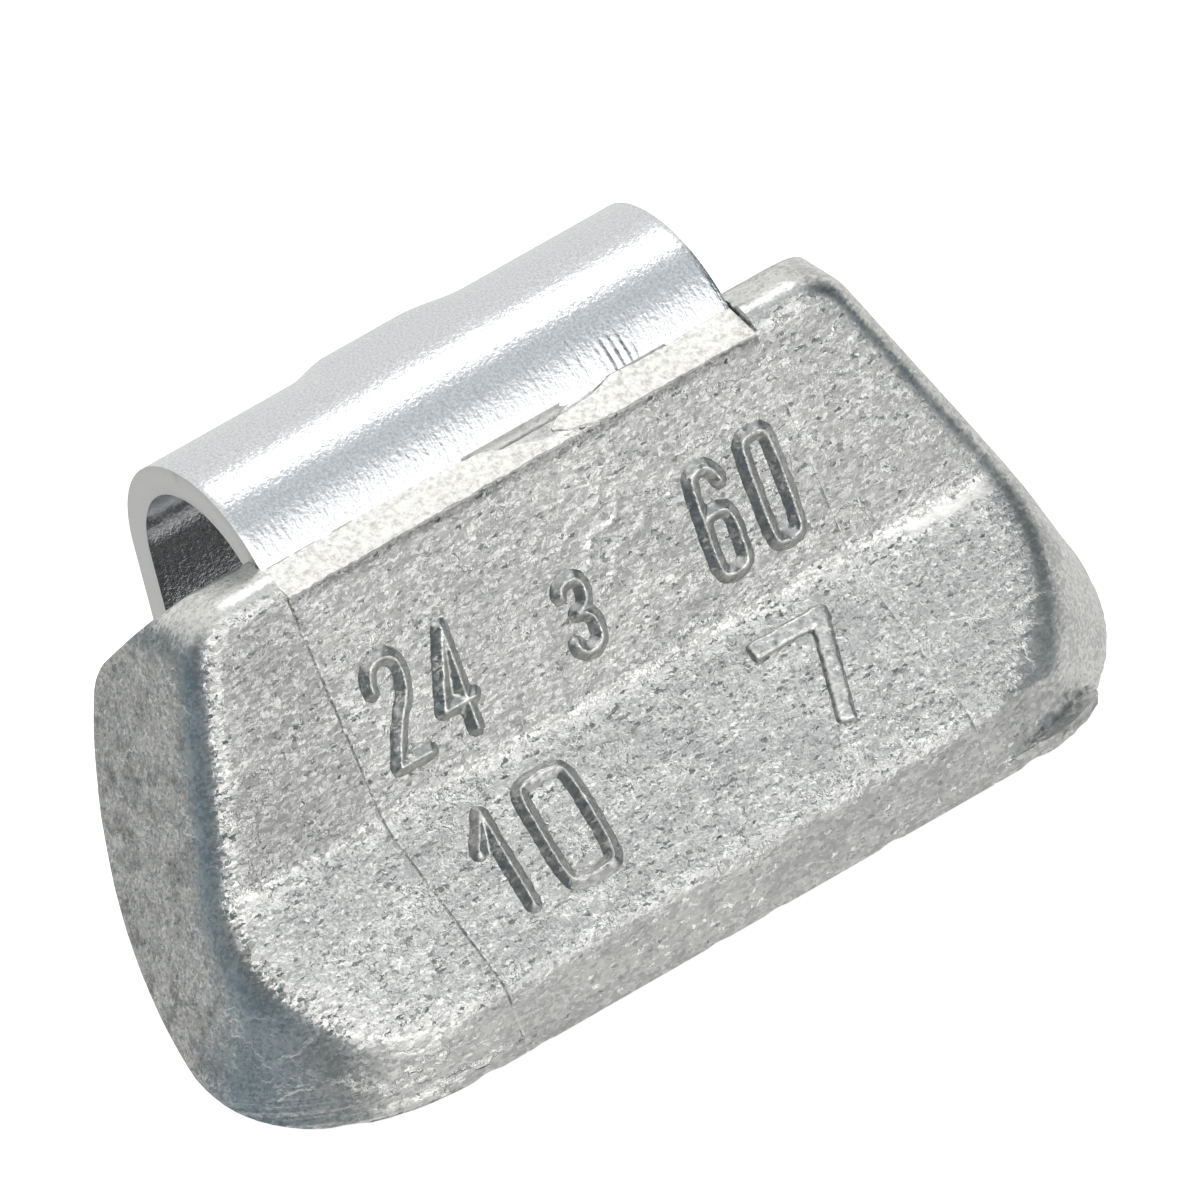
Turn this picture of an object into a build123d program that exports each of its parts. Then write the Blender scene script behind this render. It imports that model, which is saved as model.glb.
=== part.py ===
from build123d import *
import math
import os

# A clip-on wheel balance weight: a zinc casting with a bent spring strip cast into its top.
# The origin lies on the axis of the clip's bend, half way along the weight.
# X runs along the rim, +Z is up through the clip, and -Y is the marked front.

# Spring strip
strip_thickness = 0.8
strip_width = 14.6
bend_radius = 2.7
anchor_lean = 13.0
anchor_length = 5.2
anchor_hole_diameter = 2.6
anchor_hole_pitch = 7.0
anchor_hole_edge = 2.2
free_leg_flare = 3.9
free_leg_length = 4.2
tip_length = 1.9
tip_bend = 24.0
tip_bend_radius = 1.2

# Rim seat at the back of the casting
rim_gap = 2.8
seat_radius = 10.0
seat_top = -0.35
bevel_angle = 40.0
bevel_rounding = 1.2

# Marked front
land_height = 1.7
face_top = -4.0
upper_lean = 14.7
upper_length = 7.07
lower_lean = 49.6
valley_radius = 1.2

# End walls and bottom wall
end_half_length = 10.95
end_flare = 21.1
end_splay = 4.0
bottom_edge = -9.88
bottom_draft = 5.2
corner_radius = 5.8
gate_corner_radius = 7.2
corner_taper = 21.5

# Cast edges
shoulder_radius = 1.9
face_edge_radius = 0.9

# Surplus that is cut off where two shapes are made to cross
trim = 0.5

seat_face = bend_radius - rim_gap
seat_bottom = seat_top - seat_radius


def heading(angle, length):
    """A step in the section, its angle measured from straight down towards the front."""
    return Vector(-math.sin(math.radians(angle)), -math.cos(math.radians(angle))) * length


def rise(angle):
    return math.tan(math.radians(angle))


# Section of the casting across the rim, drawn a little past the top land
valley = Vector(face_top, land_height) + heading(upper_lean, upper_length)
face_end = valley - heading(upper_lean, upper_length + trim)
toe = Vector(valley.X - (valley.Y - seat_bottom) * rise(lower_lean), seat_bottom)
seat_start = Vector(seat_face, seat_top)
bevel_end = Vector(seat_face - (face_end.Y - seat_top) / rise(bevel_angle), face_end.Y)
seat_arc = JernArc(seat_start, (0, -1), seat_radius, -90)
front_lines = Polyline(seat_arc @ 1, toe, valley, face_end, bevel_end, seat_start)
section = make_face([seat_arc, *front_lines.edges()])
section = fillet(section.vertices().sort_by_distance(valley)[0], valley_radius)
section = fillet(section.vertices().sort_by_distance(seat_start)[0], bevel_rounding)
section_bar = extrude(Plane.YZ * section, amount=2 * end_half_length, both=True)


# Drafted block that gives the casting its top land, end walls and bottom wall
block_height = land_height - seat_bottom + trim
block = Box(4 * end_half_length, 4 * seat_radius, block_height)
block = Pos(0, 0, land_height - block_height / 2) * block
bottom_wall = Plane(origin=(0, bottom_edge, seat_bottom), z_dir=(0, -1, rise(bottom_draft)))
block = split(block, bisect_by=bottom_wall, keep=Keep.BOTTOM)
for side in (-1, 1):
    end_wall = Plane(
        origin=(side * end_half_length, 0, 0),
        z_dir=(side, -rise(end_splay), rise(end_flare)),
    )
    block = split(block, bisect_by=end_wall, keep=Keep.BOTTOM)
land = block.faces().sort_by(Axis.Z)[-1]
land_ends = land.edges().filter_by(Axis.X, reverse=True)
block = fillet(land_ends, shoulder_radius)
casting = section_bar & block


def corner_waste(side, level, radius):
    """What a rounded lower corner leaves off at one height, seen from above."""
    front = bottom_edge + (level - seat_bottom) * rise(bottom_draft)
    front_half = end_half_length - level * rise(end_flare) + front * rise(end_splay)
    corner = Vector(side * front_half, front)
    reach = (radius - (level - seat_bottom) * rise(corner_taper)) * rise(45 - end_splay / 2)
    front_point = corner - Vector(side, 0) * reach
    end_point = corner + Vector(side * rise(end_splay), 1).normalized() * reach
    outside = corner * 2 - (front_point + end_point) / 2
    arc = TangentArc(front_point, end_point, tangent=(side, 0))
    return Pos(0, 0, level) * make_face([arc, Line(end_point, outside), Line(outside, front_point)])


# Lower corners, rounded more and more towards the bottom
for side, radius in ((-1, corner_radius), (1, gate_corner_radius)):
    levels = (seat_bottom - trim, land_height)
    casting -= loft([corner_waste(side, level, radius) for level in levels], ruled=True)

# One rounded edge all the way round the marked front
front_faces = [
    face
    for face in casting.faces()
    if face.normal_at().Z > 0.2 and face.normal_at().Y < -0.5 and abs(face.normal_at().X) < 0.01
]
front_edges = [edge for face in front_faces for edge in face.edges()]
outer_edges = [edge for edge in front_edges if sum(edge.is_same(other) for other in front_edges) == 1]
casting = fillet(outer_edges, face_edge_radius)

# Bent strip, drawn along its inner face from the cast-in end to the free tip
anchor_up = -heading(anchor_lean, 1)
bend_start = Vector(-math.cos(math.radians(anchor_lean)), math.sin(math.radians(anchor_lean))) * bend_radius
anchor_end = bend_start - anchor_up * anchor_length
bend = JernArc(bend_start, anchor_up, bend_radius, anchor_lean + free_leg_flare - 180)
knee = bend @ 1 + heading(-free_leg_flare, free_leg_length)
tip = knee + heading(tip_bend - free_leg_flare, tip_length)
anchor_line = Line(anchor_end, bend_start)
free_lines = FilletPolyline(bend @ 1, knee, tip, radius=tip_bend_radius)
inner_path = Wire([anchor_line, bend, *free_lines.edges()])
strip_section = make_face(offset(inner_path, amount=strip_thickness, side=Side.LEFT))
clip = extrude(Plane.YZ * strip_section, amount=strip_width / 2, both=True)

# Two holes in the cast-in leg, which the zinc fills
hole_centre = anchor_end + anchor_up * anchor_hole_edge
hole_plane = Plane(
    origin=(0, hole_centre.X, hole_centre.Y),
    x_dir=(1, 0, 0),
    z_dir=(0, -anchor_up.Y, anchor_up.X),
)
hole = Cylinder(anchor_hole_diameter / 2, 4 * strip_thickness)
clip -= [hole_plane * Pos(side * anchor_hole_pitch / 2, 0, 0) * hole for side in (-1, 1)]

casting -= clip

os.makedirs("parts", exist_ok=True)
export_step(casting, "parts/zinc_body.step")
export_step(clip, "parts/spring_clip.step")
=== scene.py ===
import math

import bmesh
import bpy
from mathutils import Matrix, Quaternion, Vector, noise


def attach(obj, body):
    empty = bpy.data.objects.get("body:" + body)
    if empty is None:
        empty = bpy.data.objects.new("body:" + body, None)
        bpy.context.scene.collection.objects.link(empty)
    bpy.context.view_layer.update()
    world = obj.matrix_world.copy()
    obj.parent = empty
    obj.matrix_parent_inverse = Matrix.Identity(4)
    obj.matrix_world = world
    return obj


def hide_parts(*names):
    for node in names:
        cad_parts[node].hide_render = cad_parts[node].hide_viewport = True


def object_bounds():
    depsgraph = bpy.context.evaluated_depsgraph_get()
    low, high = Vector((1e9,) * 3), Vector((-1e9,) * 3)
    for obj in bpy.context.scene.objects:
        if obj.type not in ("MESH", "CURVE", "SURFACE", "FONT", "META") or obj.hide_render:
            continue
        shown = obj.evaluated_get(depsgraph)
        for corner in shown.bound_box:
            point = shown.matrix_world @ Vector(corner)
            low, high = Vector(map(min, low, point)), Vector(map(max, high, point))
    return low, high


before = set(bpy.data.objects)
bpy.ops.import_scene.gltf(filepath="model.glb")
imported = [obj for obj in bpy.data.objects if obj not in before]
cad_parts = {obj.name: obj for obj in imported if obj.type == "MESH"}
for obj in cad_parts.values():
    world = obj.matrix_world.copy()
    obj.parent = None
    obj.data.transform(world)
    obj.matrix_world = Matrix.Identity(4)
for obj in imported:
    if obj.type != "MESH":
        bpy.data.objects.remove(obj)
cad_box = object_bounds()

# A clip-on wheel balance weight: a zinc die casting on a bent strip of plated spring steel.
# Every piece is modelled in millimetres, in the frame of the solids, and is finished in metres.
MM = 0.001
BOX_LOW, BOX_HIGH = (corner / MM for corner in cad_box)

# Camera, at the photo's viewing angle
VIEW_AZIMUTH = -26.2
VIEW_ELEVATION = 28.18
VIEW_ROLL = -16.55
VIEW_WIDTH = 30.12
VIEW_SHIFT_RIGHT = 3.911
VIEW_SHIFT_UP = -3.559
CAMERA_DISTANCE = 1000
SENSOR = 36

# Spring strip, as in the solids
STRIP_THICKNESS = 0.8
STRIP_WIDTH = 14.6
BEND_RADIUS = 2.7
ANCHOR_LEAN = 13.0
ANCHOR_LENGTH = 5.2
ANCHOR_HOLE_DIAMETER = 2.6
ANCHOR_HOLE_PITCH = 7.0
ANCHOR_HOLE_EDGE = 2.2
FREE_LEG_FLARE = 3.9
FREE_LEG_LENGTH = 4.2
TIP_LENGTH = 1.9
TIP_BEND = 24.0
TIP_BEND_RADIUS = 1.2

# Swelling of the crown, and rounding of the strip's edges
SWELL_HEIGHT = 0.2
EDGE_ROUNDING = 0.06

# Marked front of the casting, as in the solids
LAND_HEIGHT = 1.7
FACE_TOP = -4.0
UPPER_LEAN = 14.7
UPPER_LENGTH = 7.07
LOWER_LEAN = 49.6

# Rim seat at the back of the casting, as in the solids
SEAT_RADIUS = 10.0
SEAT_CENTRE = Vector((0, -10.1, -0.35))

# Die insert that forms the middle of the front
INSERT_HALF = 7.32
SEAM_HALF = 0.035
SEAM_DEPTH = 0.05
SEAM_STEP = 0.02

# Joint of the two die halves above the lower edge
PARTING_HEIGHT = -9.95

# Rounding of the gate corner at the lower edge, as in the solids
GATE_AXIS = Vector((7.54, -2.68, 0))
GATE_RADIUS = 7.2
GATE_TAPER = 0.4
LOWER_EDGE = -10.35

# Height of the skin's waves, ripples and wrinkles
SKIN_WAVE = 0.016
SKIN_RIPPLE = 0.008
WRINKLE_HEIGHT = 0.04

# Flat slope between the insert's edges, from the front's top edge up to the strip
SLOPE_FRONT = Vector((0, -4.15, 1.13))
SLOPE_BACK = Vector((0, -3.13, 1.55))
FLASH_HEIGHT = 0.05
FLASH_CELL = 0.06


def linear(hex_colour):
    """An sRGB hex colour as linear RGBA."""
    parts = [int(hex_colour[i : i + 2], 16) / 255 for i in (1, 3, 5)]
    return [p / 12.92 if p <= 0.04045 else ((p + 0.055) / 1.055) ** 2.4 for p in parts] + [1.0]


def section_step(angle, length):
    """A step in the YZ section, its angle measured from straight down towards the front."""
    return Vector((0, -math.sin(math.radians(angle)), -math.cos(math.radians(angle)))) * length


def facet_place(lean):
    """A facet's own frame: zero is mid-length at the valley, X runs along the weight, Y up the facet."""
    up = -section_step(lean, 1)
    out = Vector((0, -up.z, up.y))
    valley = Vector((0, FACE_TOP, LAND_HEIGHT)) + section_step(UPPER_LEAN, UPPER_LENGTH)
    place = Matrix((Vector((1, 0, 0)), up, out)).transposed().to_4x4()
    place.translation = valley
    return place


UPPER_FACET = facet_place(UPPER_LEAN)
LOWER_FACET = facet_place(LOWER_LEAN)
VALLEY_HEIGHT = UPPER_FACET.translation.z

# Middle of the cold-flow wrinkles, and the painted highlight streak along the valley
COLD_MIDDLE = UPPER_FACET @ Vector((1.3, 4.0, 0))
STREAK = UPPER_FACET @ Vector((0, 0.3, 0))


def off_facet(co, normal):
    """How far a point's normal turns away from the facet that the point is on, in degrees."""
    facet = UPPER_FACET if co.z > VALLEY_HEIGHT else LOWER_FACET
    return math.degrees(normal.angle(facet.to_3x3().col[2]))


def in_box(co):
    """The point, kept inside the box of the solids."""
    return [min(max(c, low), high) for c, low, high in zip(co, BOX_LOW, BOX_HIGH)]


def bell(offset, width):
    """A smooth hump that is 1 in its middle."""
    return math.exp(-((offset / width) ** 2))


def smooth_step(low, high, value):
    """A soft ramp from 0 at the low value to 1 at the high one."""
    share = min(1.0, max(0.0, (value - low) / (high - low)))
    return share * share * (3 - 2 * share)


def between(knots, at):
    """The value at one place, eased between the knots on its two sides."""
    for (x0, v0), (x1, v1) in zip(knots, knots[1:]):
        if at <= x1:
            return v0 + (v1 - v0) * smooth_step(x0, x1, at)
    return knots[-1][1]


def pick(piece):
    """Makes this piece the only selected one."""
    bpy.ops.object.select_all(action="DESELECT")
    piece.select_set(True)
    bpy.context.view_layer.objects.active = piece


def apply_modifier(piece, kind, **settings):
    pick(piece)
    modifier = piece.modifiers.new(kind.lower(), kind)
    for name, value in settings.items():
        setattr(modifier, name, value)
    bpy.ops.object.modifier_apply(modifier=modifier.name)


def select_edges(piece, test):
    """In edit mode, selects only the edges that pass the test."""
    bpy.ops.mesh.select_mode(type="EDGE")
    bpy.ops.mesh.select_all(action="DESELECT")
    mesh = bmesh.from_edit_mesh(piece.data)
    for edge in mesh.edges:
        if test(edge):
            edge.select_set(True)
    bmesh.update_edit_mesh(piece.data)


def finish_piece(piece, name, slot, *materials):
    """Brings a piece to metres and hangs it on the frame."""
    pick(piece)
    piece.name = piece.data.name = name
    piece.scale = (MM, MM, MM)
    bpy.ops.object.transform_apply(location=True, rotation=True, scale=True)
    piece.data.materials.clear()
    for material in materials:
        piece.data.materials.append(material)
    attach(piece, "root")


# Materials
def add(tree, kind, inputs=None, **settings):
    """One node with its settings. An input is a number, a colour or the socket that feeds it."""
    made = tree.nodes.new(kind)
    for name, value in settings.items():
        setattr(made, name, value)
    for socket, value in (inputs or {}).items():
        if isinstance(value, bpy.types.NodeSocket):
            tree.links.new(value, made.inputs[socket])
        else:
            made.inputs[socket].default_value = value
    return made


def new_material(name):
    material = bpy.data.materials.new(name)
    material.use_nodes = True
    material.node_tree.nodes.clear()
    return material, material.node_tree


def die_cast_zinc():
    """Zinc alloy, die cast: a light grey skin of small tilted crystals, drawn out along the weight, that
    catch or lose the light one by one, with pale veins where the metal flowed half cold. Calm areas, where
    the die was polished, show less of them, and turned areas show the fine rings of the die's cutter. Bright
    beads painted on as highlights, partly standing for wear, light edges, crests, up-facing tops and the
    lower facet, and painted shade, partly standing for residue of the die's release agent, darkens flanks,
    creases and end walls."""
    # Sizes in millimetres. The crystals are drawn coarser than real ones, so that they show.
    stray_size = 0.1
    crystal_size = 0.07
    grain_size = 0.2
    ring_pitch = 0.13
    patch_size = 2.2
    flow_size = 1.1
    pit_size = 0.17
    bead_size = 0.09
    relief_depth = 0.042
    material, tree = new_material("die_cast_zinc_alloy")
    place = add(tree, "ShaderNodeTexCoord").outputs["Object"]
    even = add(tree, "ShaderNodeMapping", {"Vector": place, "Scale": (1000, 1000, 1000)}).outputs[0]
    calm = add(tree, "ShaderNodeAttribute", attribute_name="calm").outputs["Fac"]
    turned = add(tree, "ShaderNodeAttribute", attribute_name="turned").outputs["Fac"]
    lively = add(tree, "ShaderNodeMath", {0: 1.0, 1: calm}, operation="SUBTRACT").outputs[0]

    wander = add(
        tree, "ShaderNodeTexNoise", {"Vector": even, "Scale": 1 / stray_size, "Detail": 2.0}
    ).outputs["Color"]
    strayed = add(
        tree, "ShaderNodeVectorMath", {0: wander, 1: (0.16, 0.16, 0.16), 2: even}, operation="MULTIPLY_ADD"
    ).outputs[0]
    drawn = add(tree, "ShaderNodeMapping", {"Vector": strayed, "Scale": (0.42, 1, 1)}).outputs[0]
    cells = add(tree, "ShaderNodeTexVoronoi", {"Vector": drawn, "Scale": 1 / crystal_size}).outputs
    crystals = cells["Color"]
    centred = add(
        tree, "ShaderNodeVectorMath", {0: crystals, 1: (0.5, 0.5, 0.5)}, operation="SUBTRACT"
    ).outputs[0]
    chance = add(tree, "ShaderNodeTexWhiteNoise", {"Vector": cells["Position"]}).outputs["Value"]
    rare = add(tree, "ShaderNodeMath", {0: chance, 1: 4.0}, operation="POWER").outputs[0]
    lean = add(tree, "ShaderNodeMapRange", {"Value": rare, "To Min": 0.28, "To Max": 1.2}).outputs[0]
    reach = add(tree, "ShaderNodeMath", {0: lively, 1: lean}, operation="MULTIPLY").outputs[0]
    tilt = add(tree, "ShaderNodeVectorMath", {0: centred, "Scale": reach}, operation="SCALE").outputs[0]
    flat = add(tree, "ShaderNodeNewGeometry").outputs["Normal"]
    tilted = add(tree, "ShaderNodeVectorMath", {0: flat, 1: tilt}, operation="ADD").outputs[0]
    crystal_normal = add(tree, "ShaderNodeVectorMath", {0: tilted}, operation="NORMALIZE").outputs[0]

    grain = add(
        tree,
        "ShaderNodeTexNoise",
        {"Vector": drawn, "Scale": 1 / grain_size, "Detail": 3.0, "Roughness": 0.6},
    ).outputs["Fac"]
    rings = add(tree, "ShaderNodeMapping", {"Vector": even, "Scale": (0.04, 0.04, 1)}).outputs[0]
    rings = add(
        tree, "ShaderNodeTexNoise", {"Vector": rings, "Scale": 1 / ring_pitch, "Detail": 1.0}
    ).outputs["Fac"]
    relief = add(
        tree, "ShaderNodeMix", {"Factor": turned, "A": grain, "B": rings}, data_type="FLOAT"
    ).outputs["Result"]
    patches = add(
        tree,
        "ShaderNodeTexNoise",
        {"Vector": even, "Scale": 1 / patch_size, "Detail": 3.0, "Roughness": 0.55},
    ).outputs["Fac"]
    flow = add(
        tree, "ShaderNodeTexNoise", {"Vector": drawn, "Scale": 1 / flow_size, "Detail": 3.0}
    ).outputs["Fac"]
    level = add(tree, "ShaderNodeMath", {0: flow, 1: 0.5}, operation="SUBTRACT").outputs[0]
    level = add(tree, "ShaderNodeMath", {0: level}, operation="ABSOLUTE").outputs[0]
    crest = add(
        tree, "ShaderNodeMapRange", {"Value": level, "From Max": 0.03, "To Min": 0.55, "To Max": 0.0}
    ).outputs[0]
    chilled = add(
        tree, "ShaderNodeMapRange", {"Value": patches, "From Min": 0.48, "From Max": 0.58}
    ).outputs[0]
    relief = add(
        tree, "ShaderNodeMath", {0: crest, 1: chilled, 2: relief}, operation="MULTIPLY_ADD"
    ).outputs[0]
    height = add(
        tree, "ShaderNodeMapRange", {"Value": lively, "To Min": 0.15, "To Max": 1.0}, clamp=False
    ).outputs[0]
    height = add(tree, "ShaderNodeMath", {0: height, 1: turned}, operation="ADD").outputs[0]
    bump = add(
        tree,
        "ShaderNodeBump",
        {"Height": relief, "Strength": height, "Distance": relief_depth * MM, "Normal": crystal_normal},
    ).outputs[0]

    pits = add(
        tree,
        "ShaderNodeTexNoise",
        {"Vector": drawn, "Scale": 1 / pit_size, "Detail": 2.0, "Roughness": 0.6},
    ).outputs["Fac"]
    shade = add(tree, "ShaderNodeSeparateColor", {"Color": crystals}).outputs["Red"]
    shade = add(tree, "ShaderNodeMath", {0: flow, 1: 1.2, 2: shade}, operation="MULTIPLY_ADD").outputs[0]
    shade = add(tree, "ShaderNodeMapRange", {"Value": shade, "From Min": 0.6, "From Max": 1.6}).outputs[0]
    tone = add(tree, "ShaderNodeValToRGB", {"Fac": shade})
    tone.color_ramp.elements[0].position = 0.1
    tone.color_ramp.elements[0].color = linear("#BDBEBD")
    tone.color_ramp.elements[1].position = 0.9
    tone.color_ramp.elements[1].color = linear("#E6E6E2")
    open_pits = add(
        tree,
        "ShaderNodeMapRange",
        {"Value": pits, "From Min": 0.3, "From Max": 0.4, "To Min": 0.17, "To Max": 0.0},
    ).outputs[0]
    skin = add(
        tree,
        "ShaderNodeMix",
        {"Factor": open_pits, "A": tone.outputs[0], "B": linear("#5E5F5F")},
        data_type="RGBA",
    ).outputs["Result"]
    veins = add(tree, "ShaderNodeMath", {0: crest, 1: chilled}, operation="MULTIPLY").outputs[0]
    skin = add(
        tree, "ShaderNodeMix", {"Factor": veins, "A": skin, "B": linear("#FCFCF8")}, data_type="RGBA"
    ).outputs["Result"]
    # Painted highlight, partly wear: bright beads where this attribute and the dots are high
    highlight_and_wear = add(tree, "ShaderNodeAttribute", attribute_name="highlight_and_wear").outputs["Fac"]
    dots = add(
        tree,
        "ShaderNodeTexNoise",
        {"Vector": even, "Scale": 1 / bead_size, "Detail": 2.0, "Roughness": 0.6},
    ).outputs["Fac"]
    broken = add(tree, "ShaderNodeMath", {0: dots, 1: 1.6, 2: highlight_and_wear}, operation="MULTIPLY_ADD").outputs[0]
    bright = add(
        tree, "ShaderNodeMapRange", {"Value": broken, "From Min": 1.2, "From Max": 1.7, "To Max": 0.9}
    ).outputs[0]
    skin = add(
        tree, "ShaderNodeMix", {"Factor": bright, "A": skin, "B": linear("#FCFCF8")}, data_type="RGBA"
    ).outputs["Result"]
    # Painted shade, partly residue: darker flanks, creases, the line under the flash and the end walls
    shade_and_residue = add(tree, "ShaderNodeAttribute", attribute_name="shade_and_residue").outputs["Fac"]
    skin = add(
        tree, "ShaderNodeMix", {"Factor": shade_and_residue, "A": skin, "B": linear("#5A5B5C")}, data_type="RGBA"
    ).outputs["Result"]
    rough = add(
        tree,
        "ShaderNodeMapRange",
        {"Value": patches, "From Min": 0.3, "From Max": 0.7, "To Min": 0.27, "To Max": 0.37},
    ).outputs[0]
    shader = add(
        tree,
        "ShaderNodeBsdfPrincipled",
        {"Base Color": skin, "Metallic": 1.0, "Roughness": rough, "Normal": bump},
    )
    add(tree, "ShaderNodeOutputMaterial", {"Surface": shader.outputs[0]})
    return material


def squeezed_zinc():
    """Zinc flash, squeezed flat between steel faces: whiter than the cast skin, with small pits."""
    # Sizes in millimetres
    pit_size = 0.17
    pit_depth = 0.036
    material, tree = new_material("squeezed_zinc_flash")
    place = add(tree, "ShaderNodeTexCoord").outputs["Object"]
    even = add(tree, "ShaderNodeMapping", {"Vector": place, "Scale": (1000, 1000, 1000)}).outputs[0]
    pits = add(
        tree,
        "ShaderNodeTexNoise",
        {"Vector": even, "Scale": 1 / pit_size, "Detail": 4.0, "Roughness": 0.75},
    ).outputs["Fac"]
    bump = add(
        tree, "ShaderNodeBump", {"Height": pits, "Strength": 1.0, "Distance": pit_depth * MM}
    ).outputs[0]
    tone = add(tree, "ShaderNodeValToRGB", {"Fac": pits})
    tone.color_ramp.elements[0].position = 0.36
    tone.color_ramp.elements[0].color = linear("#D2D0CA")
    tone.color_ramp.elements[1].position = 0.54
    tone.color_ramp.elements[1].color = linear("#FDFCF9")
    shader = add(
        tree,
        "ShaderNodeBsdfPrincipled",
        {"Base Color": tone.outputs[0], "Metallic": 1.0, "Roughness": 0.38, "Normal": bump},
    )
    add(tree, "ShaderNodeOutputMaterial", {"Surface": shader.outputs[0]})
    return material


def plated_spring_steel():
    """Spring steel strip, rolled and plated bright: mirror-like bands broken by fine grain and cross lines.
    A few deeper drag lines stand in one place above the foot."""
    # Sizes in millimetres
    grain_size = 0.14
    line_pitch = 0.12
    speckle_size = 0.07
    relief_depth = 0.022
    drag_place = 4.0
    material, tree = new_material("plated_spring_steel")
    place = add(tree, "ShaderNodeTexCoord").outputs["Object"]
    even = add(tree, "ShaderNodeMapping", {"Vector": place, "Scale": (1000, 1000, 1000)}).outputs[0]
    across = add(tree, "ShaderNodeMapping", {"Vector": place, "Scale": (1000, 60, 60)}).outputs[0]
    grain = add(
        tree,
        "ShaderNodeTexNoise",
        {"Vector": even, "Scale": 1 / grain_size, "Detail": 3.0, "Roughness": 0.6},
    ).outputs["Fac"]
    lines = add(
        tree,
        "ShaderNodeTexNoise",
        {"Vector": across, "Scale": 1 / line_pitch, "Detail": 2.0, "Roughness": 0.6},
    ).outputs["Fac"]
    relief = add(
        tree, "ShaderNodeMix", {"Factor": 0.35, "A": grain, "B": lines}, data_type="FLOAT"
    ).outputs["Result"]
    spread = add(tree, "ShaderNodeSeparateXYZ", {"Vector": even}).outputs
    aside = add(tree, "ShaderNodeMath", {0: spread["X"], 1: drag_place}, operation="SUBTRACT").outputs[0]
    aside = add(tree, "ShaderNodeMath", {0: aside}, operation="ABSOLUTE").outputs[0]
    near = add(
        tree,
        "ShaderNodeMapRange",
        {"Value": aside, "From Min": 0.35, "From Max": 0.6, "To Min": 0.6, "To Max": 0.0},
    ).outputs[0]
    low = add(
        tree,
        "ShaderNodeMapRange",
        {"Value": spread["Z"], "From Min": 1.9, "From Max": 2.5, "To Min": 1.0, "To Max": 0.0},
    ).outputs[0]
    waves = add(tree, "ShaderNodeTexWave", {"Vector": even, "Scale": 1.3, "Distortion": 0.6}).outputs["Fac"]
    in_front = add(tree, "ShaderNodeMath", {0: spread["Y"], 1: 0.0}, operation="LESS_THAN").outputs[0]
    drag = add(tree, "ShaderNodeMath", {0: near, 1: low}, operation="MULTIPLY").outputs[0]
    drag = add(tree, "ShaderNodeMath", {0: drag, 1: in_front}, operation="MULTIPLY").outputs[0]
    relief = add(
        tree, "ShaderNodeMath", {0: waves, 1: drag, 2: relief}, operation="MULTIPLY_ADD"
    ).outputs[0]
    bump = add(
        tree, "ShaderNodeBump", {"Height": relief, "Strength": 1.0, "Distance": relief_depth * MM}
    ).outputs[0]
    speckle = add(
        tree,
        "ShaderNodeTexNoise",
        {"Vector": even, "Scale": 1 / speckle_size, "Detail": 2.0, "Roughness": 0.7},
    ).outputs["Fac"]
    tone = add(tree, "ShaderNodeValToRGB", {"Fac": speckle})
    tone.color_ramp.elements[0].position = 0.3
    tone.color_ramp.elements[0].color = linear("#D0D2D4")
    tone.color_ramp.elements[1].position = 0.65
    tone.color_ramp.elements[1].color = linear("#F2F4F6")
    shader = add(
        tree,
        "ShaderNodeBsdfPrincipled",
        {"Base Color": tone.outputs[0], "Metallic": 1.0, "Roughness": 0.2, "Normal": bump},
    )
    add(tree, "ShaderNodeOutputMaterial", {"Surface": shader.outputs[0]})
    return material


def sheared_spring_steel():
    """The strip's cut edge: paler and duller than its faces, with a fine torn grain."""
    # Sizes in millimetres
    grain_size = 0.12
    grain_depth = 0.02
    material, tree = new_material("sheared_spring_steel")
    place = add(tree, "ShaderNodeTexCoord").outputs["Object"]
    even = add(tree, "ShaderNodeMapping", {"Vector": place, "Scale": (1000, 1000, 1000)}).outputs[0]
    grain = add(
        tree,
        "ShaderNodeTexNoise",
        {"Vector": even, "Scale": 1 / grain_size, "Detail": 3.0, "Roughness": 0.6},
    ).outputs["Fac"]
    bump = add(
        tree, "ShaderNodeBump", {"Height": grain, "Strength": 1.0, "Distance": grain_depth * MM}
    ).outputs[0]
    shader = add(
        tree,
        "ShaderNodeBsdfPrincipled",
        {"Base Color": linear("#D9D9D8"), "Metallic": 1.0, "Roughness": 0.45, "Normal": bump},
    )
    add(tree, "ShaderNodeOutputMaterial", {"Surface": shader.outputs[0]})
    return material


def white_card():
    """Matt white card, lit evenly from behind so that shadows on it stay faint."""
    material, tree = new_material("white_card")
    matt = add(tree, "ShaderNodeBsdfDiffuse", {"Color": linear("#FAFAFA")})
    glow = add(tree, "ShaderNodeEmission", {"Color": linear("#FFFFFF"), "Strength": 0.75})
    both = add(tree, "ShaderNodeAddShader", {0: matt.outputs[0], 1: glow.outputs[0]})
    add(tree, "ShaderNodeOutputMaterial", {"Surface": both.outputs[0]})
    return material


zinc = die_cast_zinc()
flash_zinc = squeezed_zinc()
steel = plated_spring_steel()
cut_steel = sheared_spring_steel()


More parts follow.
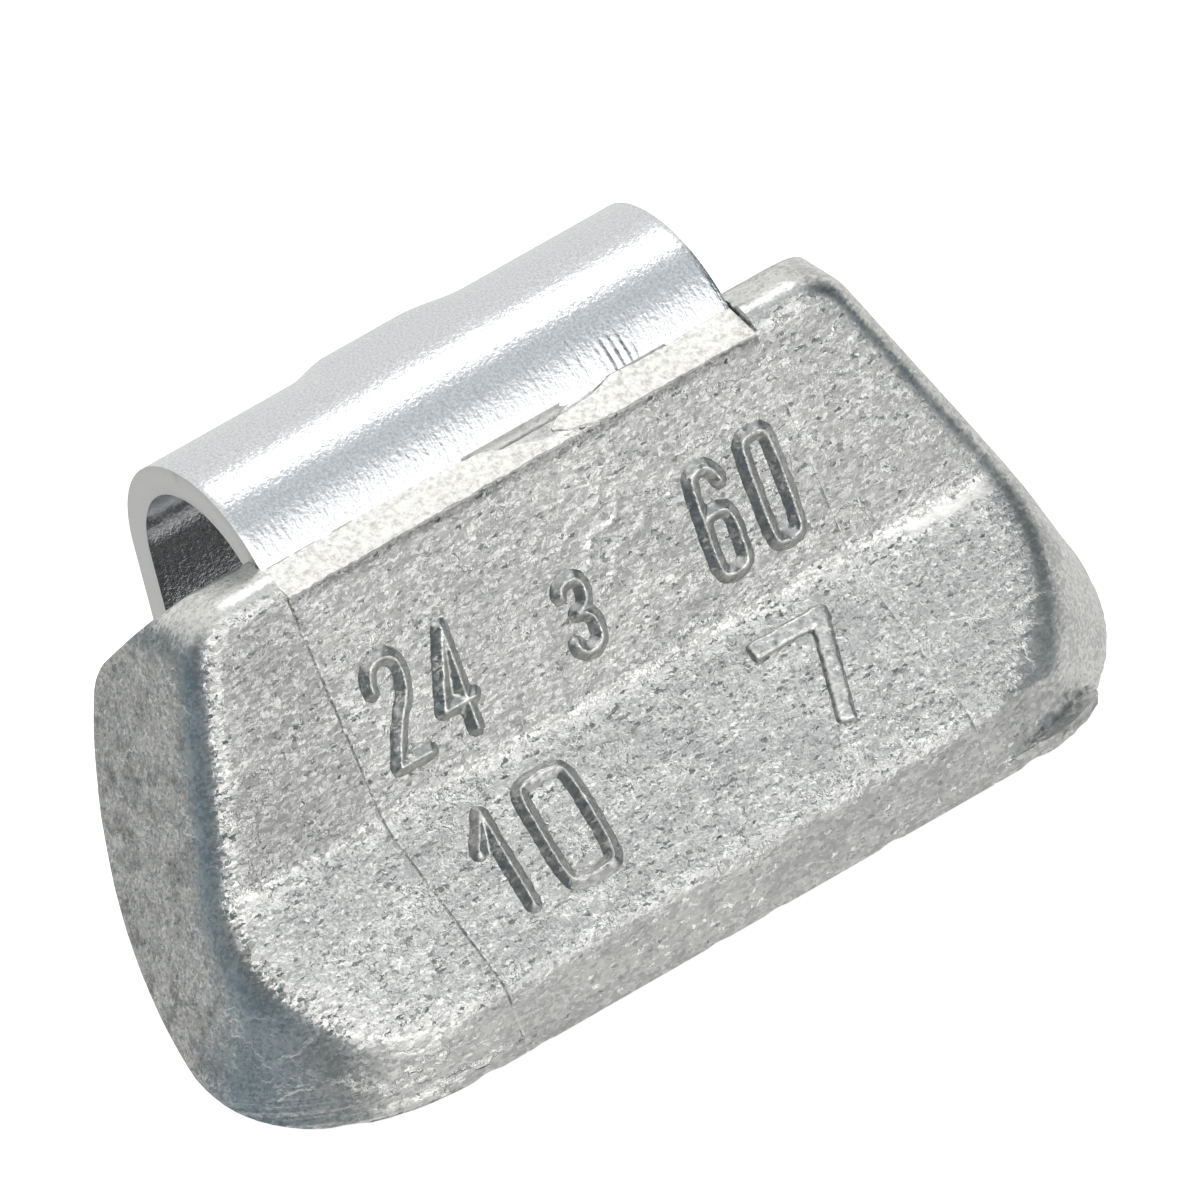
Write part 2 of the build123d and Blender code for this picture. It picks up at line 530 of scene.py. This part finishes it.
# Bent strip
def bent_strip():
    """A flat grid along the cast-in leg, spun round the bend and drawn out to the free leg's tip."""
    cells_across, cells_down = 72, 16
    bend_steps = 84
    leg_steps = 8
    knee_steps = 8
    tip_steps = 4
    up = -section_step(ANCHOR_LEAN, 1)
    bend_start = Vector((0, -up.z, up.y)) * BEND_RADIUS
    bpy.ops.object.select_all(action="DESELECT")
    bpy.ops.mesh.primitive_grid_add(x_subdivisions=cells_across, y_subdivisions=cells_down, size=1)
    strip = bpy.context.active_object
    strip.scale = (STRIP_WIDTH, ANCHOR_LENGTH, 1)
    strip.rotation_euler = (math.radians(90 - ANCHOR_LEAN), 0, 0)
    strip.location = bend_start - up * ANCHOR_LENGTH / 2
    bpy.ops.object.transform_apply(location=True, rotation=True, scale=True)
    bpy.ops.object.mode_set(mode="EDIT")

    bend_angle = 180 - ANCHOR_LEAN - FREE_LEG_FLARE
    turn = Matrix.Rotation(math.radians(-bend_angle), 3, "X")
    bend_end = turn @ bend_start
    knee_run = TIP_BEND_RADIUS * math.tan(math.radians(TIP_BEND / 2))
    leg = section_step(-FREE_LEG_FLARE, 1)
    tip_start = bend_end + leg * (FREE_LEG_LENGTH - knee_run)
    inward = Vector((0, leg.z, -leg.y))
    knee_centre = tip_start + inward * TIP_BEND_RADIUS
    tip = section_step(TIP_BEND - FREE_LEG_FLARE, 1)

    select_edges(strip, lambda edge: all((v.co.yz - bend_start.yz).length < 0.001 for v in edge.verts))
    bpy.ops.mesh.spin(steps=bend_steps, angle=math.radians(bend_angle), center=(0, 0, 0), axis=(1, 0, 0))
    for _ in range(leg_steps):
        bpy.ops.mesh.extrude_region_move(
            TRANSFORM_OT_translate={"value": leg * (FREE_LEG_LENGTH - knee_run) / leg_steps}
        )
    bpy.ops.mesh.spin(steps=knee_steps, angle=math.radians(TIP_BEND), center=knee_centre, axis=(1, 0, 0))
    for _ in range(tip_steps):
        bpy.ops.mesh.extrude_region_move(
            TRANSFORM_OT_translate={"value": tip * (TIP_LENGTH - knee_run) / tip_steps}
        )
    bpy.ops.mesh.select_all(action="SELECT")
    bpy.ops.mesh.remove_doubles(threshold=0.001)
    bpy.ops.mesh.normals_make_consistent(inside=False)
    bpy.ops.object.mode_set(mode="OBJECT")
    return strip


def swelling(co):
    """How far the crown bulges, where the punch did not reach the middle of the strip."""
    along = smooth_step(-2.6, -1.5, co.x) * (1 - smooth_step(0.8, 2.7, co.x))
    round_bend = math.degrees(math.atan2(co.z, -co.y)) - 121
    return SWELL_HEIGHT * along * bell(round_bend, 24)


def anchor_holes():
    """Two cylinders that cut the holes of the cast-in leg."""
    up = -section_step(ANCHOR_LEAN, 1)
    out = Vector((0, -up.z, up.y))
    centre = out * BEND_RADIUS + up * (ANCHOR_HOLE_EDGE - ANCHOR_LENGTH)
    drills = []
    for side in (-1, 1):
        bpy.ops.object.select_all(action="DESELECT")
        bpy.ops.mesh.primitive_cylinder_add(
            vertices=48,
            radius=ANCHOR_HOLE_DIAMETER / 2,
            depth=4 * STRIP_THICKNESS,
            location=centre + Vector((side * ANCHOR_HOLE_PITCH / 2, 0, 0)),
            rotation=out.to_track_quat("Z", "Y").to_euler(),
        )
        drills.append(bpy.context.active_object)
    return drills


def clean_faces(strip):
    """Splits the many-sided faces round the holes, and takes out the slivers that have no area."""
    pick(strip)
    bpy.ops.object.mode_set(mode="EDIT")
    bpy.ops.mesh.select_mode(type="FACE")
    bpy.ops.mesh.select_all(action="DESELECT")
    bpy.ops.mesh.select_face_by_sides(number=4, type="GREATER")
    bpy.ops.mesh.quads_convert_to_tris(quad_method="BEAUTY", ngon_method="BEAUTY")
    bpy.ops.mesh.select_all(action="SELECT")
    bpy.ops.mesh.dissolve_degenerate(threshold=0.0005)
    bpy.ops.object.mode_set(mode="OBJECT")


def finish_strip(strip):
    """Gives the strip its thickness, holes, rounded edges and swelling, and its cut edges their own material.
    """
    apply_modifier(strip, "SOLIDIFY", thickness=STRIP_THICKNESS, offset=1, use_even_offset=True)
    for drill in anchor_holes():
        apply_modifier(strip, "BOOLEAN", operation="DIFFERENCE", solver="EXACT", object=drill)
        bpy.data.objects.remove(drill)
    apply_modifier(
        strip,
        "BEVEL",
        width=EDGE_ROUNDING,
        segments=2,
        limit_method="ANGLE",
        angle_limit=math.radians(50),
    )
    clean_faces(strip)
    for vertex in strip.data.vertices:
        radial = Vector((0, vertex.co.y, vertex.co.z)).normalized()
        if vertex.co.z > 0:
            vertex.co += radial * swelling(vertex.co)
        vertex.co = in_box(vertex.co)
    pick(strip)
    bpy.ops.object.shade_smooth_by_angle(angle=math.radians(40))
    finish_piece(strip, "spring_strip", "spring_steel", steel, cut_steel)
    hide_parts("spring_clip")
    for face in strip.data.polygons:
        if abs(face.normal.x) > 0.9:
            face.material_index = 1


finish_strip(bent_strip())


# Casting
def casting():
    """A copy of the solid's mesh in millimetres, with its loose triangles joined."""
    body = bpy.data.objects.new("casting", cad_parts["zinc_body"].data.copy())
    bpy.context.scene.collection.objects.link(body)
    body.scale = (1 / MM, 1 / MM, 1 / MM)
    pick(body)
    bpy.ops.object.transform_apply(location=False, rotation=False, scale=True)
    bpy.ops.object.mode_set(mode="EDIT")
    bpy.ops.mesh.select_all(action="SELECT")
    bpy.ops.mesh.remove_doubles(threshold=0.002)
    bpy.ops.object.mode_set(mode="OBJECT")
    return body


def die_joints(body):
    """Edge loops where parts of the die meet: the insert's two edges and the step above the lower edge."""
    cuts = [(side * INSERT_HALF + offset, "x") for side in (-1, 1) for offset in (-SEAM_HALF, 0, SEAM_HALF)]
    cuts += [(PARTING_HEIGHT - 0.02, "z"), (PARTING_HEIGHT + 0.02, "z")]
    bpy.ops.object.mode_set(mode="EDIT")
    for place, axis in cuts:
        bpy.ops.mesh.select_all(action="SELECT")
        plane = Vector((1, 0, 0)) if axis == "x" else Vector((0, 0, 1))
        bpy.ops.mesh.bisect(plane_co=plane * place, plane_no=plane)
    bpy.ops.object.mode_set(mode="OBJECT")


def trimmed_land(co):
    """Between the insert's edges the top land slopes down to the front, with a groove along the strip."""
    slope = (SLOPE_BACK.z - SLOPE_FRONT.z) / (SLOPE_BACK.y - SLOPE_FRONT.y)
    groove = 0.2 * smooth_step(SLOPE_BACK.y - 0.3, SLOPE_BACK.y - 0.15, co.y)
    return SLOPE_FRONT.z + (co.y - SLOPE_FRONT.y) * slope - groove


def gate_move(co):
    """The broken gate leaves a rough hollow at its corner, and the lower die half a short lip below."""
    out = Vector((co.x - GATE_AXIS.x, co.y - GATE_AXIS.y, 0))
    depth = GATE_RADIUS - (co.z - LOWER_EDGE) * GATE_TAPER - out.length
    crease = between([(8.0, -9.0), (9.2, -8.8), (10.6, -9.2), (11.6, -9.3)], co.x)
    blend = between([(8.0, 0.12), (10.2, 0.12), (11.2, 0.9)], co.x)
    hollow = smooth_step(7.9, 8.8, co.x) * (1 - smooth_step(crease - blend, crease + blend, co.z))
    move = hollow * (0.05 * noise.noise(co / 0.35) - between([(8.0, 0.1), (10.2, 0.1), (11.6, 0.15)], co.x))
    if co.z < PARTING_HEIGHT:
        lip = smooth_step(7.6, 9.5, co.x) * (1 - smooth_step(11.05, 11.4, co.x))
        move += lip * (0.3 + 0.12 * smooth_step(LOWER_EDGE, PARTING_HEIGHT, co.z))
    return out.normalized() * move * (1 - smooth_step(0.4, 1.2, depth))


def cold_flow(co):
    """Wrinkles on the upper facet, where two streams of metal met half cold."""
    wave = math.sin(8 * (co.z - 0.7 * co.x) + 6 * noise.noise(co / 1.1))
    return smooth_step(0.45, 0.95, wave) * bell((co - COLD_MIDDLE).length, 1.5)


def skin_push(co, normal):
    """How far a point of the skin lies outside the solid's smooth face."""
    push = SKIN_WAVE * noise.noise(co / 2.6) + SKIN_RIPPLE * noise.noise(co / 0.7)
    push += WRINKLE_HEIGHT * cold_flow(co)
    if normal.y < -0.15:
        if abs(co.x) < INSERT_HALF - SEAM_HALF / 2:
            push += SEAM_STEP
        elif abs(co.x) < INSERT_HALF + SEAM_HALF / 2:
            gap = 0.7 * SEAM_DEPTH if co.x < 0 else 0.4 * SEAM_DEPTH
            push -= gap * (0.6 + 0.8 * noise.noise((co.x, co.y / 0.5, co.z / 0.5)))
    if co.x < -INSERT_HALF and abs(normal.z) < 0.6:
        push += 0.05 * (1 - smooth_step(-10.3, -9.9, co.z))
    return push


def skin_finish_and_light(co, normal):
    """How calm the grain is, how much the die's turning rings show, how much painted highlight, partly wear,
    brightens the skin, and how much painted shade, partly residue, darkens it."""
    away = off_facet(co, normal)
    from_streak = (co.yz - STREAK.yz).length
    on_facet = 1 - smooth_step(6, 12, away)
    wall = smooth_step(24, 36, away)
    lower_wall = smooth_step(0.9, 0.98, -normal.y)
    end_wall = smooth_step(0.88, 0.92, abs(normal.x))

    # Painted highlights, partly wear: beads on the fillets beside the facets, a streak along the valley,
    # up-facing tops, the cold-flow wrinkles and the whole lower facet
    beads = smooth_step(5, 10, away) * (1 - smooth_step(15, 24, away)) * smooth_step(1.0, 1.5, from_streak)
    beads *= 1 - 0.8 * smooth_step(9.5, 10.5, co.x)
    uneven = 0.5 * noise.noise((co.x / 1.3, co.z / 0.7, 4))
    uneven += 0.35 * noise.noise((co.x / 0.4, co.z / 0.4, 9))
    highlight_and_wear = between([(-9.5, 0.3), (-8.0, 0.5)], co.x) * beads
    highlight_and_wear = max(highlight_and_wear, 0.74 * bell(from_streak, 0.22))
    highlight_and_wear = max(highlight_and_wear, 0.5 * smooth_step(0.5, 0.75, normal.z) * smooth_step(-0.6, 0.2, co.z))
    highlight_and_wear = max(highlight_and_wear, 1.05 * cold_flow(co)) * (1 + uneven)
    if co.z < VALLEY_HEIGHT:
        highlight_and_wear = max(highlight_and_wear, on_facet * (between([(-8.0, 0.5), (-7.0, 0.41)], co.x) + 0.4 * uneven))

    beads = max(beads, bell(from_streak, 0.3))
    calm = wall * (0.85 - 0.55 * lower_wall - 0.5 * end_wall) - 0.6 * beads
    calm = max(calm, 0.9 * smooth_step(8, 16, away) * smooth_step(8.6, 9.6, co.x))

    # Darker patches on the end walls, a darker left end of the upper facet, and a darker top land within the
    # insert
    patchy = 0.7 * noise.noise(co / 0.6) + 0.6 * noise.noise(co / 0.2)
    shade_and_residue = 0.5 * end_wall * smooth_step(0.0, 0.6, patchy)
    if co.z > VALLEY_HEIGHT:
        shade_and_residue = max(shade_and_residue, 0.2 * on_facet * smooth_step(7.0, 7.5, -co.x))
    if abs(co.x) < INSERT_HALF:
        shade_and_residue = max(shade_and_residue, 0.6 * smooth_step(0.75, 0.85, normal.z) * smooth_step(0.9, 1.0, co.z))
        # Painted shadow below the flash's front edge, and painted shade in the crease along the foot of the
        # strip
        below_flash = (co.yz - SLOPE_FRONT.yz - Vector((-0.03, -0.1))).length
        along_strip = (co.yz - SLOPE_BACK.yz).length
        shade_and_residue = max(shade_and_residue, 0.8 * bell(below_flash, 0.1), 0.6 * bell(along_strip, 0.15))

    rings = wall * smooth_step(INSERT_HALF, INSERT_HALF + 1.5, -co.x) * smooth_step(8.6, 9.6, -co.z)
    return calm, 0.6 * rings, highlight_and_wear, shade_and_residue


def keep_finish_and_light(piece, finish_and_light):
    """Stores the skin's grain, rings, painted highlight and painted shade, point by point, for the material.
    """
    for name, values in zip(("calm", "turned", "highlight_and_wear", "shade_and_residue"), zip(*finish_and_light)):
        piece.data.attributes.new(name, "FLOAT", "POINT").data.foreach_set("value", values)


def sculpt_casting(body):
    """Moves the skin's points as the die's joints, the metal's flow and the trimming left them."""
    normals = [v.normal.copy() for v in body.data.vertices]
    finish_and_light = [skin_finish_and_light(v.co, normal) for v, normal in zip(body.data.vertices, normals)]
    keep_finish_and_light(body, finish_and_light)
    for vertex, normal, (calm, *_) in zip(body.data.vertices, normals, finish_and_light):
        co = vertex.co.copy()
        push = skin_push(co, normal) - 0.02 * min(0.0, calm) * noise.noise(co / 0.3)
        if abs(co.x) < INSERT_HALF + 0.01 and co.y < -2.9 and normal.z > -0.2 and co.z > trimmed_land(co):
            co.z = trimmed_land(co)
        co += normal * push
        if co.x > INSERT_HALF and co.z < -8.0:
            co += gate_move(co)
        if co.z < -10.0 and co.y < -7:
            co.z += 0.12 * max(0.0, noise.noise((co.x / 0.9, 5, 0)))
        vertex.co = in_box(co)


def soften_ends(body):
    """The die wears most at its ends, so the front's edge is rounder there, most of all at the lower corners.
    """
    for name, rounds in (("ends", 80), ("corners", 110)):
        group = body.vertex_groups.new(name=name)
        for vertex in body.data.vertices:
            co = vertex.co
            from_seat = SEAT_RADIUS - (co.yz - SEAT_CENTRE.yz).length
            weight = smooth_step(8.2, 9.6, abs(co.x)) * smooth_step(0.4, 1.2, from_seat)
            weight *= (1 - smooth_step(-3.2, -2.2, co.y)) * (1 - smooth_step(0.3, 1.1, co.z))
            if name == "corners":
                weight *= 1 - smooth_step(-6.5, -3.5, co.z)
            if weight > 0:
                group.add([vertex.index], weight, "REPLACE")
        apply_modifier(body, "SMOOTH", factor=0.5, iterations=rounds, vertex_group=name)
    body.vertex_groups.clear()


def draw_together(body):
    """Where the skin touches itself along the thin lower rim, the edges that two sheets share collapse."""
    bpy.ops.object.mode_set(mode="EDIT")
    select_edges(body, lambda edge: len(edge.link_faces) != 2)
    bpy.ops.mesh.merge(type="COLLAPSE")
    bpy.ops.object.mode_set(mode="OBJECT")


def finish_casting(body):
    """Gives the casting an even skin, softens and sculpts it, and hangs it in place of the solid."""
    apply_modifier(body, "REMESH", mode="SHARP", octree_depth=8, scale=0.88, sharpness=1.0)
    draw_together(body)
    soften_ends(body)
    die_joints(body)
    sculpt_casting(body)
    pick(body)
    bpy.ops.object.shade_smooth_by_angle(angle=math.radians(50))
    finish_piece(body, "zinc_casting", "zinc", zinc)
    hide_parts("zinc_body")


finish_casting(casting())


# Flash on the slope at the foot of the strip
def flash_plate(front, back):
    """A thin uneven plate of zinc. Its front and back edges are shares of the slope, at places along it."""
    first, last = front[0][0], front[-1][0]
    bpy.ops.object.select_all(action="DESELECT")
    cells = int((last - first) / FLASH_CELL)
    bpy.ops.mesh.primitive_grid_add(x_subdivisions=cells, y_subdivisions=8, size=1)
    plate = bpy.context.active_object
    run = SLOPE_BACK - SLOPE_FRONT
    out = Vector((0, -run.z, run.y)).normalized()
    for vertex in plate.data.vertices:
        x = first + (vertex.co.x + 0.5) * (last - first)
        ragged = 0.05 * noise.noise((x / 0.7, 0, 0)) + 0.04 * noise.noise((x / 0.22, 3, 0))
        low, high = between(front, x) + ragged, between(back, x) + 0.4 * ragged
        share = low + (vertex.co.y + 0.5) * (high - low)
        lift = FLASH_HEIGHT * (1.2 + 0.5 * noise.noise((x / 0.5, share * 1.5, 7)))
        vertex.co = Vector((x, 0, 0)) + SLOPE_FRONT + run * share + out * lift
    apply_modifier(plate, "SOLIDIFY", thickness=2 * FLASH_HEIGHT, offset=-1)
    return plate


def top_flash():
    """Two plates of flash that run past each other near the middle of the slope."""
    left = flash_plate(
        [(-7.28, -0.03), (1.55, 0.0)],
        [(-7.28, 0.98), (-2.0, 0.98), (-0.6, 0.88), (0.1, 0.6), (1.0, 0.32), (1.55, 0.06)],
    )
    right = flash_plate(
        [(1.3, 0.42), (1.7, 0.2), (2.6, 0.0), (7.28, -0.03)],
        [(1.3, 0.5), (1.7, 0.7), (2.6, 0.74), (3.6, 0.98), (4.8, 0.93), (7.28, 0.98)],
    )
    pick(left)
    right.select_set(True)
    bpy.ops.object.join()
    bpy.ops.object.shade_smooth_by_angle(angle=math.radians(35))
    finish_piece(left, "top_flash", "zinc", flash_zinc)


top_flash()


# Raised numbers, cut into the die with a conical cutter
CUTTER_HALF = 0.29
CUTTER_DEPTH = 0.21
BAR_WIDTH = 0.56
BAR_HEIGHT = 0.16
BAR_ROUNDING = 0.12

# Strokes of each number in a box of width 1 and height 1: whether the stroke closes, and its guide points
STROKES = {
    "0": [
        (
            True,
            [(0, 0.5), (0, 0.9), (0.15, 1), (0.85, 1), (1, 0.9), (1, 0.1), (0.85, 0), (0.15, 0), (0, 0.1)],
        ),
    ],
    "1": [(False, [(0, 0.68), (0.6, 1)]), (False, [(0.6, 1), (0.6, 0)])],
    "2": [
        (False, [(0, 0.74), (0, 1), (1, 1), (1, 0.62), (0.4, 0.36), (0, 0)]),
        (False, [(0, 0), (1, 0)]),
    ],
    "3": [
        (False, [(0, 0.85), (0.05, 1), (0.95, 1), (0.95, 0.58), (0.4, 0.54)]),
        (False, [(0.4, 0.54), (1, 0.5), (1, 0), (0.05, 0), (0, 0.16)]),
    ],
    "4": [
        (False, [(0.75, 0), (0.75, 1)]),
        (False, [(0.75, 1), (0, 0.28)]),
        (False, [(0, 0.28), (1, 0.28)]),
    ],
    "6": [
        (
            True,
            [
                (0, 0.3), (0, 0.5), (0.2, 0.58), (0.8, 0.58), (1, 0.48),
                (1, 0.1), (0.85, 0), (0.15, 0), (0, 0.1),
            ],
        ),
        (False, [(0, 0.3), (0, 0.85), (0.15, 1), (0.85, 1), (1, 0.82)]),
    ],
}


def cut_stroke(closed, points):
    """A ridge with a roof section along the guide points, with cone ends as a cutter leaves them."""
    path = bpy.data.curves.new("stroke", "CURVE")
    path.dimensions = "3D"
    spline = path.splines.new("NURBS")
    spline.points.add(len(points) - 1)
    for target, (u, v) in zip(spline.points, points):
        target.co = (u, v, 0, 1)
    spline.use_cyclic_u = closed
    spline.order_u = min(3, len(points))
    spline.use_endpoint_u = not closed
    spline.resolution_u = 10
    path.bevel_depth = CUTTER_HALF
    path.bevel_resolution = 0
    path.use_fill_caps = True
    ridge = bpy.data.objects.new("stroke", path)
    bpy.context.scene.collection.objects.link(ridge)
    pick(ridge)
    bpy.ops.object.convert(target="MESH")
    made = [bpy.context.active_object]
    for u, v in () if closed else (points[0], points[-1]):
        bpy.ops.object.select_all(action="DESELECT")
        bpy.ops.mesh.primitive_cone_add(
            vertices=20, radius1=CUTTER_HALF, depth=CUTTER_HALF, location=(u, v, CUTTER_HALF / 2)
        )
        made.append(bpy.context.active_object)
    return made


def cut_number(number, facet, centre, width, height, slant):
    """One number, placed by its centre along the weight and up from the valley."""
    made = []
    for closed, points in STROKES[number]:
        placed = [((u - 0.5) * width + (v - 0.5) * height * slant, (v - 0.5) * height) for u, v in points]
        made += cut_stroke(closed, placed)
    place = facet @ Matrix.Translation((*centre, 0))
    place = place @ Matrix.Diagonal((1, 1, CUTTER_DEPTH / CUTTER_HALF, 1))
    for part in made:
        part.data.transform(part.matrix_basis)
        part.matrix_basis = Matrix.Identity(4)
        part.data.transform(place)
    return made


def flat_bar(facet, start, end):
    """A flat-topped bar between two points of a facet."""
    start, end = Vector((*start, 0)), Vector((*end, 0))
    run = end - start
    bpy.ops.object.select_all(action="DESELECT")
    bpy.ops.mesh.primitive_cube_add(size=1)
    bar = bpy.context.active_object
    turn = Matrix.Rotation(math.atan2(run.y, run.x), 4, "Z")
    size = Matrix.Diagonal((run.length + BAR_WIDTH, BAR_WIDTH, 2 * BAR_HEIGHT, 1))
    bar.data.transform(facet @ Matrix.Translation((start + end) / 2) @ turn @ size)
    apply_modifier(bar, "BEVEL", width=BAR_ROUNDING, segments=2, limit_method="ANGLE")
    return [bar]


def raised_numbers():
    """All numbers of the front as one skin, with painted highlights on their crests and painted shade on
    their flanks.
    """
    parts = []
    for number, facet, centre, width, height, slant in (
        ("2", UPPER_FACET, (-5.8, 2.62), 0.95, 2.75, 0.05),
        ("4", UPPER_FACET, (-4.15, 2.55), 0.95, 2.75, 0.05),
        ("3", UPPER_FACET, (-0.18, 2.39), 0.72, 1.9, 0.05),
        ("6", UPPER_FACET, (4.31, 2.77), 0.85, 2.8, 0.05),
        ("0", UPPER_FACET, (6.0, 2.87), 0.85, 2.9, 0.05),
        ("1", LOWER_FACET, (-5.3, -2.24), 0.95, 2.75, 0.11),
        ("0", LOWER_FACET, (-3.32, -2.25), 1.5, 3.0, 0.11),
    ):
        parts += cut_number(number, facet, centre, width, height, slant)
    parts += flat_bar(LOWER_FACET, (3.75, -0.75), (5.65, -0.75))
    parts += flat_bar(LOWER_FACET, (5.65, -0.75), (4.6, -3.35))
    marks = parts[0]
    pick(marks)
    for part in parts:
        part.select_set(True)
    bpy.ops.object.join()
    apply_modifier(marks, "REMESH", mode="VOXEL", voxel_size=0.035)
    apply_modifier(marks, "SMOOTH", factor=0.5, iterations=7)
    normals = [v.normal.copy() for v in marks.data.vertices]
    finish_and_light = []
    for vertex, normal in zip(marks.data.vertices, normals):
        away = off_facet(vertex.co, normal)
        # Painted highlight on the crests, and painted shade on the flanks, darker on flanks that face -X,
        # away from the light
        crest = 0.55 * (1 - smooth_step(15, 30, away))
        shaded = 0.15 + 0.3 * smooth_step(0.0, 0.4, -normal.x)
        finish_and_light.append((0.7, 0.0, crest, shaded * smooth_step(18, 34, away)))
        vertex.co += normal * 0.025 * noise.noise(vertex.co / 0.25)
    keep_finish_and_light(marks, finish_and_light)
    pick(marks)
    bpy.ops.object.shade_smooth()
    finish_piece(marks, "raised_numbers", "zinc", zinc)


raised_numbers()


# Camera
def photo_camera():
    """A long lens far away, because the photo shows almost no perspective."""
    azimuth, elevation = math.radians(VIEW_AZIMUTH), math.radians(VIEW_ELEVATION)
    back = Vector(
        (
            math.sin(azimuth) * math.cos(elevation),
            -math.cos(azimuth) * math.cos(elevation),
            math.sin(elevation),
        )
    )
    turn = (-back).to_track_quat("-Z", "Y") @ Quaternion((0, 0, 1), math.radians(VIEW_ROLL))
    aim = turn @ Vector((VIEW_SHIFT_RIGHT, VIEW_SHIFT_UP, 0))
    camera = bpy.data.objects.new("photo_camera", bpy.data.cameras.new("photo_camera"))
    bpy.context.scene.collection.objects.link(camera)
    camera.rotation_mode = "QUATERNION"
    camera.rotation_quaternion = turn
    camera.location = (aim + back * CAMERA_DISTANCE) * MM
    camera.data.sensor_width = SENSOR
    camera.data.lens = SENSOR * CAMERA_DISTANCE / VIEW_WIDTH
    bpy.context.scene.camera = camera


photo_camera()


# Floor and light
def studio_floor():
    """A white card just below the weight, which throws no light of its own on it."""
    bpy.ops.object.select_all(action="DESELECT")
    bpy.ops.mesh.primitive_plane_add(size=2.0, location=(0, 0, cad_box[0].z - 0.2 * MM))
    floor = bpy.context.active_object
    floor.name = "studio_floor"
    floor.data.materials.append(white_card())
    floor.visible_diffuse = False
    floor.visible_glossy = False


def soft_light(name, direction, distance, size, radiance):
    """A square softbox that faces the weight."""
    light = bpy.data.objects.new(name, bpy.data.lights.new(name, "AREA"))
    bpy.context.scene.collection.objects.link(light)
    aim = Vector(direction).normalized()
    light.location = aim * distance * MM
    light.rotation_mode = "QUATERNION"
    light.rotation_quaternion = aim.to_track_quat("Z", "Y")
    light.data.shape = "SQUARE"
    light.data.size = size * MM
    light.data.energy = radiance * math.pi * (size * MM) ** 2
    light.visible_camera = False


def studio_world():
    """A white tent, brighter in front, with dark panels at both sides, behind and below."""
    world = bpy.data.worlds.new("white_tent")
    world.use_nodes = True
    tree = world.node_tree
    tree.nodes.clear()
    direction = add(tree, "ShaderNodeTexCoord").outputs["Generated"]
    # Bright and dark panels: direction, outer and inner angle of the soft edge, tint and strength
    panels = [
        ((0.05, -0.85, 0.50), 34, 14, "#FFFFFF", 1.7),
        ((0.39, -0.90, -0.20), 28, 12, "#FFFFFF", 0.56),
        ((0.39, -0.90, 0.21), 13, 5, "#FFFFFF", 1.9),
        ((-0.97, 0.05, 0.20), 46, 14, "#8FA3AF", 0.72),
        ((-0.85, -0.43, 0.30), 36, 16, "#8FA3AF", 0.72),
        ((-0.70, -0.70, -0.08), 27, 13, "#B4BBBF", 0.45),
        ((-0.72, -0.20, 0.66), 30, 14, "#B4BBBF", 0.40),
        ((-0.70, 0.72, -0.05), 22, 6, "#FFFBF7", 0.52),
        ((-0.62, 0.70, 0.34), 20, 8, "#8FA3AF", 0.35),
        ((0.80, -0.30, 0.52), 30, 14, "#9FB6C2", 0.2),
        ((0.87, -0.48, 0.05), 22, 10, "#9FB6C2", 0.3),
        ((0.39, -0.30, 0.87), 22, 8, "#F4F8FC", 0.70),
        ((0.10, 0.20, -0.97), 50, 28, "#C8D0D8", 0.05),
    ]
    colour = linear("#E9E9E8")
    for aim, outer, inner, tint, strength in panels:
        facing = add(
            tree,
            "ShaderNodeVectorMath",
            {0: direction, 1: Vector(aim).normalized()},
            operation="DOT_PRODUCT",
        ).outputs["Value"]
        low, high = (math.cos(math.radians(angle)) for angle in (outer, inner))
        share = add(
            tree,
            "ShaderNodeMapRange",
            {"Value": facing, "From Min": low, "From Max": high},
            interpolation_type="SMOOTHSTEP",
        ).outputs[0]
        tinted = [c * strength for c in linear(tint)[:3]] + [1.0]
        colour = add(
            tree, "ShaderNodeMix", {"Factor": share, "A": colour, "B": tinted}, data_type="RGBA"
        ).outputs["Result"]
    background = add(tree, "ShaderNodeBackground", {"Color": colour, "Strength": 1.0})
    add(tree, "ShaderNodeOutputWorld", {"Surface": background.outputs[0]})
    bpy.context.scene.world = world


studio_floor()
studio_world()
soft_light("top_softbox", (0.39, 0.18, 0.90), 150, 40, 3.2)
bpy.context.scene.view_settings.view_transform = "Standard"
